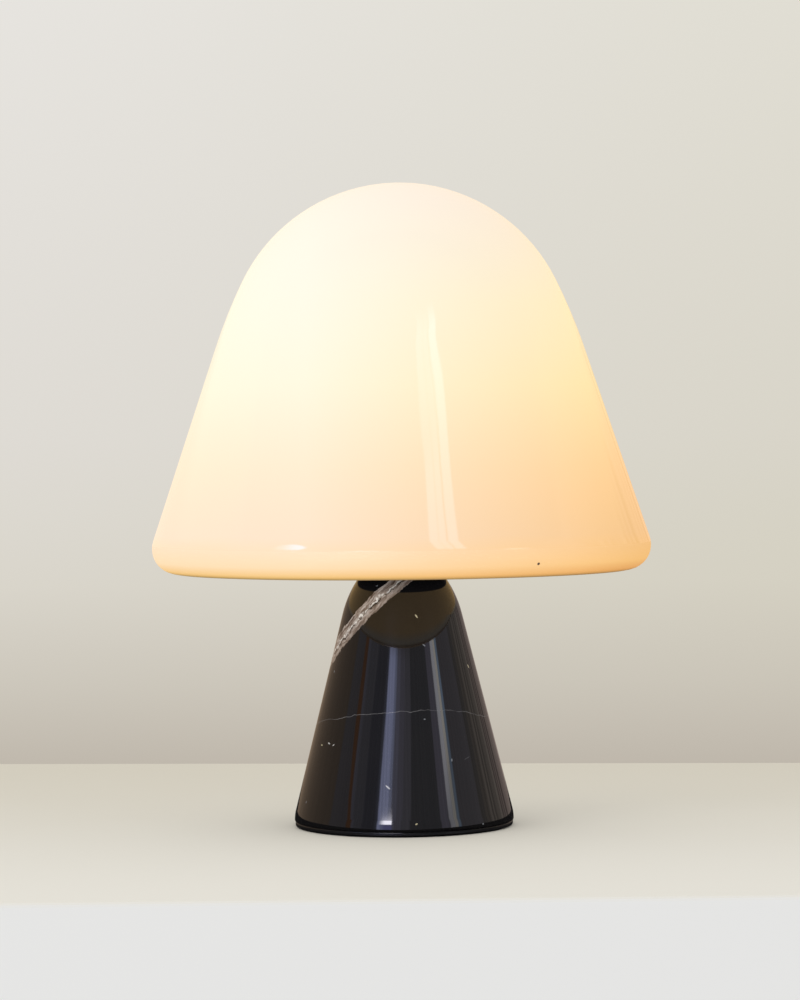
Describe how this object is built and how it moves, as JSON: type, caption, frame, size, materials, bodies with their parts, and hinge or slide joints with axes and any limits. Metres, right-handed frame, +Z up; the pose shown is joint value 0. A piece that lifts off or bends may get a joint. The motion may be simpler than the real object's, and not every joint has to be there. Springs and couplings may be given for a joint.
{
  "type": "mushroom table lamp",
  "caption": "Mushroom-shaped table lamp: a domed opal glass shade, closed underneath, rests on a tapered black marble base over a screw-in bulb.",
  "frame": {"origin": "middle of the underside, on the lamp's axis", "axes": "+Z up along the lamp's axis, +Y towards the cord inlet at the back, +X to the right seen from the front"},
  "size_m": [0.25, 0.25, 0.3223],
  "materials": {
    "opal_glass": "glossy opal, lit from inside",
    "black_marble": "polished, black with brown and white veins",
    "black_steel": "satin black",
    "zinc_steel": "zinc plated",
    "brass": "plain",
    "felt": "pressed felt",
    "black_silicone": "matt",
    "fibre": "vulcanised fibre",
    "black_plastic": "moulded, semi-gloss",
    "white_ceramic": "glazed",
    "nickel": "nickel plated",
    "dark_glass": "glossy black glass",
    "opal_plastic": "satin opal",
    "white_plastic": "moulded",
    "board_white": "white solder mask",
    "led_yellow": "phosphor"
  },
  "bodies": {
    "lamp_base": {"foot_pad": "felt", "bottom_plate": "black_steel", "plate_screws": "zinc_steel", "plate_anchors": "brass", "marble_base": "black_marble", "cord_inlet_bush": "black_plastic", "threaded_tube": "zinc_steel", "tube_end_bush": "black_plastic", "bottom_nut": "zinc_steel", "bottom_lock_washer": "zinc_steel", "spread_washer": "zinc_steel", "fibre_washer": "fibre", "shade_carrier": "black_steel", "centring_ring": "black_steel", "shade_gasket": "black_silicone", "carrier_lock_washer": "zinc_steel", "carrier_nut": "zinc_steel", "holder_cap": "black_plastic", "holder_grub_screw": "zinc_steel", "holder_insert": "white_ceramic", "holder_rivets": "brass", "holder_centre_contact": "brass", "holder_terminals": "brass", "terminal_screws": "zinc_steel", "holder_screw_shell": "brass", "holder_skirt": "black_plastic"},
    "glass_shade": {"opal_shade": "opal_glass"},
    "bulb_tip": {"bulb_contact": "nickel"},
    "bulb": {"bulb_insulator": "dark_glass", "bulb_cap": "nickel", "bulb_housing": "white_plastic", "bulb_led_board": "board_white", "bulb_led_chips": "led_yellow", "bulb_globe": "opal_plastic"}
  },
  "joints": [
    {"name": "shade_lift", "type": "slide", "parent": "lamp_base", "child": "glass_shade", "axis": [0, 0, 1], "range_m": [0, 0.125]},
    {"name": "bulb_rise", "type": "slide", "parent": "lamp_base", "child": "bulb_tip", "axis": [0, 0, 1], "range_m": [0, 0.0185]},
    {"name": "bulb_turn", "type": "hinge", "parent": "bulb_tip", "child": "bulb", "pos_m": [0, 0, 0.159], "axis": [0, 0, 1], "range_deg": [0, 1800]}
  ],
  "couplings": [
    {"joint": "bulb_rise", "follows": "bulb_turn", "m_per_rad": 0.00057757}
  ]
}
